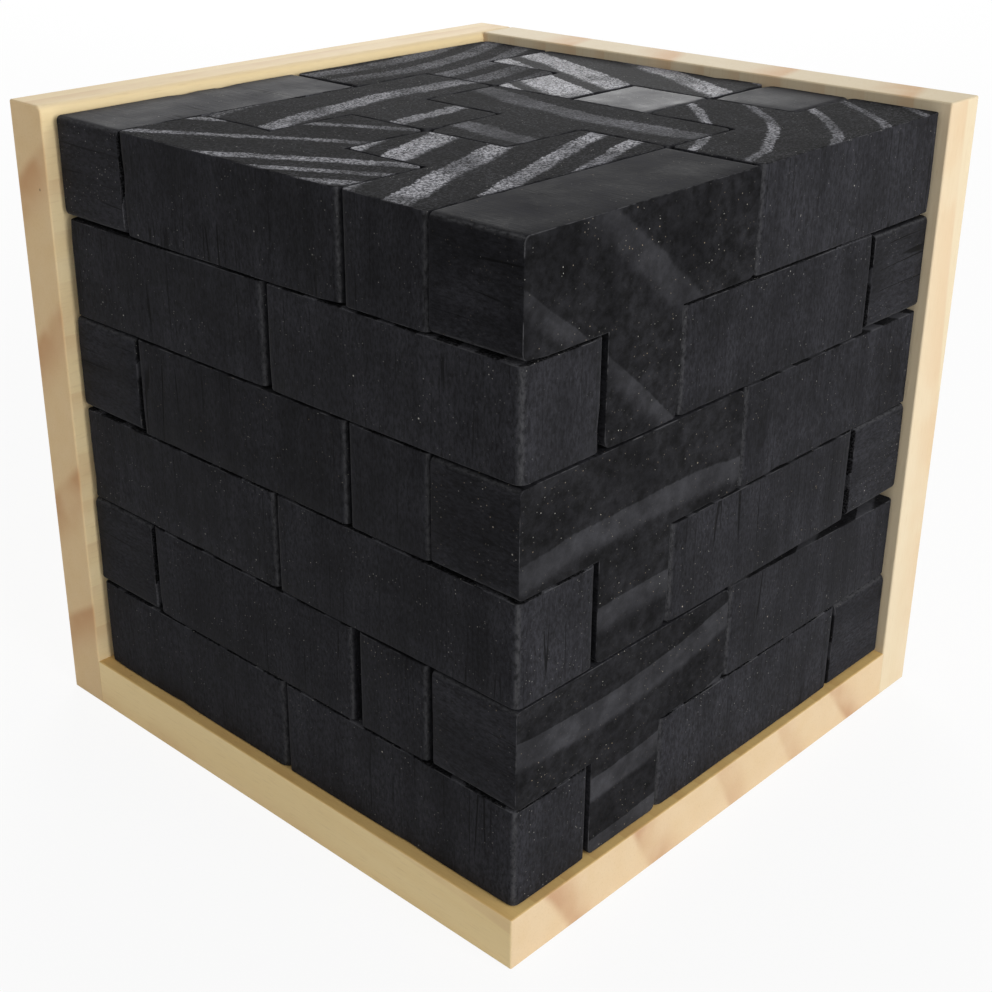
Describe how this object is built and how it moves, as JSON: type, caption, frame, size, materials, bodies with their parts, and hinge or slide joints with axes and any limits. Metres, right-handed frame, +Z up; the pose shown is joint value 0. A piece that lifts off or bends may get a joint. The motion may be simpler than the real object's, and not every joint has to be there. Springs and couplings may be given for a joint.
{
  "type": "wooden packing puzzle in a tray",
  "caption": "Cube of loose black T-shaped wooden blocks packed into an open pine tray with a base, a left wall and a back wall.",
  "frame": {"origin": "centre of the tray's underside", "axes": "+Z up, -Y to the open front, +X to the open right side; left wall at -X, back wall at +Y"},
  "size_m": [0.1, 0.1, 0.0992],
  "materials": {
    "tray_pine": "sanded bare pine",
    "black_blocks": "black stain, dull"
  },
  "bodies": {
    "tray": {"base_board": "tray_pine", "left_wall": "tray_pine", "back_wall": "tray_pine"},
    "bottom_bed_front_left": {"bottom_bed_front_left": "black_blocks"},
    "bottom_bed_front_right": {"bottom_bed_front_right": "black_blocks"},
    "bottom_bed_left": {"bottom_bed_left": "black_blocks"},
    "bottom_bed_centre_left": {"bottom_bed_centre_left": "black_blocks"},
    "bottom_bed_centre_right": {"bottom_bed_centre_right": "black_blocks"},
    "bottom_bed_right": {"bottom_bed_right": "black_blocks"},
    "bottom_bed_rear": {"bottom_bed_rear": "black_blocks"},
    "bottom_upright_rear": {"bottom_upright_rear": "black_blocks"},
    "bottom_upright_corner": {"bottom_upright_corner": "black_blocks"},
    "bottom_upright_left": {"bottom_upright_left": "black_blocks"},
    "bottom_upright_right": {"bottom_upright_right": "black_blocks"},
    "bottom_pinwheel_front": {"bottom_pinwheel_front": "black_blocks"},
    "bottom_pinwheel_left": {"bottom_pinwheel_left": "black_blocks"},
    "bottom_pinwheel_back": {"bottom_pinwheel_back": "black_blocks"},
    "bottom_pinwheel_right": {"bottom_pinwheel_right": "black_blocks"},
    "bottom_cap_left": {"bottom_cap_left": "black_blocks"},
    "bottom_cap_rear": {"bottom_cap_rear": "black_blocks"},
    "bottom_cap_right": {"bottom_cap_right": "black_blocks"},
    "middle_bed_front_left": {"middle_bed_front_left": "black_blocks"},
    "middle_bed_front_right": {"middle_bed_front_right": "black_blocks"},
    "middle_bed_left": {"middle_bed_left": "black_blocks"},
    "middle_bed_centre_left": {"middle_bed_centre_left": "black_blocks"},
    "middle_bed_centre_right": {"middle_bed_centre_right": "black_blocks"},
    "middle_bed_right": {"middle_bed_right": "black_blocks"},
    "middle_bed_rear": {"middle_bed_rear": "black_blocks"},
    "middle_upright_rear": {"middle_upright_rear": "black_blocks"},
    "middle_upright_corner": {"middle_upright_corner": "black_blocks"},
    "middle_upright_left": {"middle_upright_left": "black_blocks"},
    "middle_upright_right": {"middle_upright_right": "black_blocks"},
    "middle_pinwheel_front": {"middle_pinwheel_front": "black_blocks"},
    "middle_pinwheel_left": {"middle_pinwheel_left": "black_blocks"},
    "middle_pinwheel_back": {"middle_pinwheel_back": "black_blocks"},
    "middle_pinwheel_right": {"middle_pinwheel_right": "black_blocks"},
    "middle_cap_left": {"middle_cap_left": "black_blocks"},
    "middle_cap_rear": {"middle_cap_rear": "black_blocks"},
    "middle_cap_right": {"middle_cap_right": "black_blocks"},
    "top_bed_front_left": {"top_bed_front_left": "black_blocks"},
    "top_bed_front_right": {"top_bed_front_right": "black_blocks"},
    "top_bed_left": {"top_bed_left": "black_blocks"},
    "top_bed_centre_left": {"top_bed_centre_left": "black_blocks"},
    "top_bed_centre_right": {"top_bed_centre_right": "black_blocks"},
    "top_bed_right": {"top_bed_right": "black_blocks"},
    "top_bed_rear": {"top_bed_rear": "black_blocks"},
    "top_upright_rear": {"top_upright_rear": "black_blocks"},
    "top_upright_corner": {"top_upright_corner": "black_blocks"},
    "top_upright_left": {"top_upright_left": "black_blocks"},
    "top_upright_right": {"top_upright_right": "black_blocks"},
    "top_pinwheel_front": {"top_pinwheel_front": "black_blocks"},
    "top_pinwheel_left": {"top_pinwheel_left": "black_blocks"},
    "top_pinwheel_back": {"top_pinwheel_back": "black_blocks"},
    "top_pinwheel_right": {"top_pinwheel_right": "black_blocks"},
    "top_cap_left": {"top_cap_left": "black_blocks"},
    "top_cap_rear": {"top_cap_rear": "black_blocks"},
    "top_cap_right": {"top_cap_right": "black_blocks"}
  },
  "joints": [
    {"name": "bottom_bed_rear_slide", "type": "slide", "parent": "tray", "child": "bottom_bed_rear", "axis": [1, 0, 0], "range_m": [0, 0.0962]},
    {"name": "bottom_cap_left_slide", "type": "slide", "parent": "tray", "child": "bottom_cap_left", "axis": [0, -1, 0], "range_m": [0, 0.0967]},
    {"name": "bottom_bed_centre_right_slide", "type": "slide", "parent": "tray", "child": "bottom_bed_centre_right", "axis": [0, -1, 0], "range_m": [0, 0.0667]},
    {"name": "bottom_upright_right_slide", "type": "slide", "parent": "tray", "child": "bottom_upright_right", "axis": [1, 0, 0], "range_m": [0, 0.0212]},
    {"name": "bottom_cap_rear_slide", "type": "slide", "parent": "bottom_bed_rear", "child": "bottom_cap_rear", "axis": [1, 0, 0], "range_m": [0, 0.0812]},
    {"name": "bottom_bed_left_slide", "type": "slide", "parent": "bottom_cap_left", "child": "bottom_bed_left", "axis": [0, -1, 0], "range_m": [0, 0.0817]},
    {"name": "bottom_pinwheel_back_slide", "type": "slide", "parent": "bottom_cap_left", "child": "bottom_pinwheel_back", "axis": [0, -1, 0], "range_m": [0, 0.0667]},
    {"name": "bottom_bed_front_right_slide", "type": "slide", "parent": "bottom_bed_centre_right", "child": "bottom_bed_front_right", "axis": [0, -1, 0], "range_m": [0, 0.0367]},
    {"name": "bottom_upright_rear_slide", "type": "slide", "parent": "bottom_cap_rear", "child": "bottom_upright_rear", "axis": [1, 0, 0], "range_m": [0, 0.0662]},
    {"name": "bottom_bed_centre_left_slide", "type": "slide", "parent": "bottom_bed_left", "child": "bottom_bed_centre_left", "axis": [0, -1, 0], "range_m": [0, 0.0667]},
    {"name": "bottom_pinwheel_left_slide", "type": "slide", "parent": "bottom_pinwheel_back", "child": "bottom_pinwheel_left", "axis": [0, -1, 0], "range_m": [0, 0.0667]},
    {"name": "bottom_upright_corner_slide", "type": "slide", "parent": "bottom_upright_rear", "child": "bottom_upright_corner", "axis": [1, 0, 0], "range_m": [0, 0.0512]},
    {"name": "bottom_bed_right_slide", "type": "slide", "parent": "bottom_upright_rear", "child": "bottom_bed_right", "axis": [1, 0, 0], "range_m": [0, 0.0362]},
    {"name": "bottom_upright_left_slide", "type": "slide", "parent": "bottom_bed_centre_left", "child": "bottom_upright_left", "axis": [0, -1, 0], "range_m": [0, 0.0517]},
    {"name": "bottom_pinwheel_right_slide", "type": "slide", "parent": "bottom_pinwheel_left", "child": "bottom_pinwheel_right", "axis": [0, -1, 0], "range_m": [0, 0.0517]},
    {"name": "bottom_cap_right_slide", "type": "slide", "parent": "bottom_upright_corner", "child": "bottom_cap_right", "axis": [1, 0, 0], "range_m": [0, 0.0362]},
    {"name": "bottom_bed_front_left_slide", "type": "slide", "parent": "bottom_upright_left", "child": "bottom_bed_front_left", "axis": [0, -1, 0], "range_m": [0, 0.0367]},
    {"name": "bottom_pinwheel_front_slide", "type": "slide", "parent": "bottom_pinwheel_right", "child": "bottom_pinwheel_front", "axis": [0, -1, 0], "range_m": [0, 0.0367]},
    {"name": "middle_bed_rear_slide", "type": "slide", "parent": "tray", "child": "middle_bed_rear", "axis": [1, 0, 0], "range_m": [0, 0.0962]},
    {"name": "middle_cap_left_slide", "type": "slide", "parent": "tray", "child": "middle_cap_left", "axis": [0, -1, 0], "range_m": [0, 0.0967]},
    {"name": "middle_bed_centre_right_slide", "type": "slide", "parent": "tray", "child": "middle_bed_centre_right", "axis": [0, -1, 0], "range_m": [0, 0.0667]},
    {"name": "middle_upright_right_slide", "type": "slide", "parent": "tray", "child": "middle_upright_right", "axis": [1, 0, 0], "range_m": [0, 0.0212]},
    {"name": "middle_cap_rear_slide", "type": "slide", "parent": "middle_bed_rear", "child": "middle_cap_rear", "axis": [1, 0, 0], "range_m": [0, 0.0812]},
    {"name": "middle_bed_left_slide", "type": "slide", "parent": "middle_cap_left", "child": "middle_bed_left", "axis": [0, -1, 0], "range_m": [0, 0.0817]},
    {"name": "middle_pinwheel_back_slide", "type": "slide", "parent": "middle_cap_left", "child": "middle_pinwheel_back", "axis": [0, -1, 0], "range_m": [0, 0.0667]},
    {"name": "middle_bed_front_right_slide", "type": "slide", "parent": "middle_bed_centre_right", "child": "middle_bed_front_right", "axis": [0, -1, 0], "range_m": [0, 0.0367]},
    {"name": "middle_upright_rear_slide", "type": "slide", "parent": "middle_cap_rear", "child": "middle_upright_rear", "axis": [1, 0, 0], "range_m": [0, 0.0662]},
    {"name": "middle_bed_centre_left_slide", "type": "slide", "parent": "middle_bed_left", "child": "middle_bed_centre_left", "axis": [0, -1, 0], "range_m": [0, 0.0667]},
    {"name": "middle_pinwheel_left_slide", "type": "slide", "parent": "middle_pinwheel_back", "child": "middle_pinwheel_left", "axis": [0, -1, 0], "range_m": [0, 0.0667]},
    {"name": "middle_upright_corner_slide", "type": "slide", "parent": "middle_upright_rear", "child": "middle_upright_corner", "axis": [1, 0, 0], "range_m": [0, 0.0512]},
    {"name": "middle_bed_right_slide", "type": "slide", "parent": "middle_upright_rear", "child": "middle_bed_right", "axis": [1, 0, 0], "range_m": [0, 0.0362]},
    {"name": "middle_upright_left_slide", "type": "slide", "parent": "middle_bed_centre_left", "child": "middle_upright_left", "axis": [0, -1, 0], "range_m": [0, 0.0517]},
    {"name": "middle_pinwheel_right_slide", "type": "slide", "parent": "middle_pinwheel_left", "child": "middle_pinwheel_right", "axis": [0, -1, 0], "range_m": [0, 0.0517]},
    {"name": "middle_cap_right_slide", "type": "slide", "parent": "middle_upright_corner", "child": "middle_cap_right", "axis": [1, 0, 0], "range_m": [0, 0.0362]},
    {"name": "middle_bed_front_left_slide", "type": "slide", "parent": "middle_upright_left", "child": "middle_bed_front_left", "axis": [0, -1, 0], "range_m": [0, 0.0367]},
    {"name": "middle_pinwheel_front_slide", "type": "slide", "parent": "middle_pinwheel_right", "child": "middle_pinwheel_front", "axis": [0, -1, 0], "range_m": [0, 0.0367]},
    {"name": "top_pinwheel_front_slide", "type": "slide", "parent": "tray", "child": "top_pinwheel_front", "axis": [0, 0, 1], "range_m": [0, 0.0212]},
    {"name": "top_pinwheel_left_slide", "type": "slide", "parent": "tray", "child": "top_pinwheel_left", "axis": [0, 0, 1], "range_m": [0, 0.0212]},
    {"name": "top_pinwheel_back_slide", "type": "slide", "parent": "tray", "child": "top_pinwheel_back", "axis": [0, 0, 1], "range_m": [0, 0.0212]},
    {"name": "top_pinwheel_right_slide", "type": "slide", "parent": "tray", "child": "top_pinwheel_right", "axis": [0, 0, 1], "range_m": [0, 0.0212]},
    {"name": "top_upright_right_slide", "type": "slide", "parent": "tray", "child": "top_upright_right", "axis": [0, 0, 1], "range_m": [0, 0.0362]},
    {"name": "top_cap_left_slide", "type": "slide", "parent": "tray", "child": "top_cap_left", "axis": [0, 0, 1], "range_m": [0, 0.0212]},
    {"name": "top_cap_rear_slide", "type": "slide", "parent": "tray", "child": "top_cap_rear", "axis": [0, 0, 1], "range_m": [0, 0.0212]},
    {"name": "top_bed_left_slide", "type": "slide", "parent": "tray", "child": "top_bed_left", "axis": [0, -1, 0], "range_m": [0, 0.0817]},
    {"name": "top_bed_centre_right_slide", "type": "slide", "parent": "tray", "child": "top_bed_centre_right", "axis": [0, -1, 0], "range_m": [0, 0.0667]},
    {"name": "top_bed_rear_slide", "type": "slide", "parent": "tray", "child": "top_bed_rear", "axis": [1, 0, 0], "range_m": [0, 0.0962]},
    {"name": "top_bed_centre_left_slide", "type": "slide", "parent": "top_bed_left", "child": "top_bed_centre_left", "axis": [0, -1, 0], "range_m": [0, 0.0667]},
    {"name": "top_upright_left_slide", "type": "slide", "parent": "top_bed_left", "child": "top_upright_left", "axis": [0, 0, 1], "range_m": [0, 0.0362]},
    {"name": "top_bed_front_right_slide", "type": "slide", "parent": "top_bed_centre_right", "child": "top_bed_front_right", "axis": [0, -1, 0], "range_m": [0, 0.0367]},
    {"name": "top_upright_rear_slide", "type": "slide", "parent": "top_bed_rear", "child": "top_upright_rear", "axis": [1, 0, 0], "range_m": [0, 0.0662]},
    {"name": "top_bed_front_left_slide", "type": "slide", "parent": "top_bed_centre_left", "child": "top_bed_front_left", "axis": [0, -1, 0], "range_m": [0, 0.0367]},
    {"name": "top_upright_corner_slide", "type": "slide", "parent": "top_upright_rear", "child": "top_upright_corner", "axis": [1, 0, 0], "range_m": [0, 0.0512]},
    {"name": "top_bed_right_slide", "type": "slide", "parent": "top_upright_rear", "child": "top_bed_right", "axis": [1, 0, 0], "range_m": [0, 0.0362]},
    {"name": "top_cap_right_slide", "type": "slide", "parent": "top_upright_corner", "child": "top_cap_right", "axis": [0, 0, 1], "range_m": [0, 0.0212]}
  ]
}
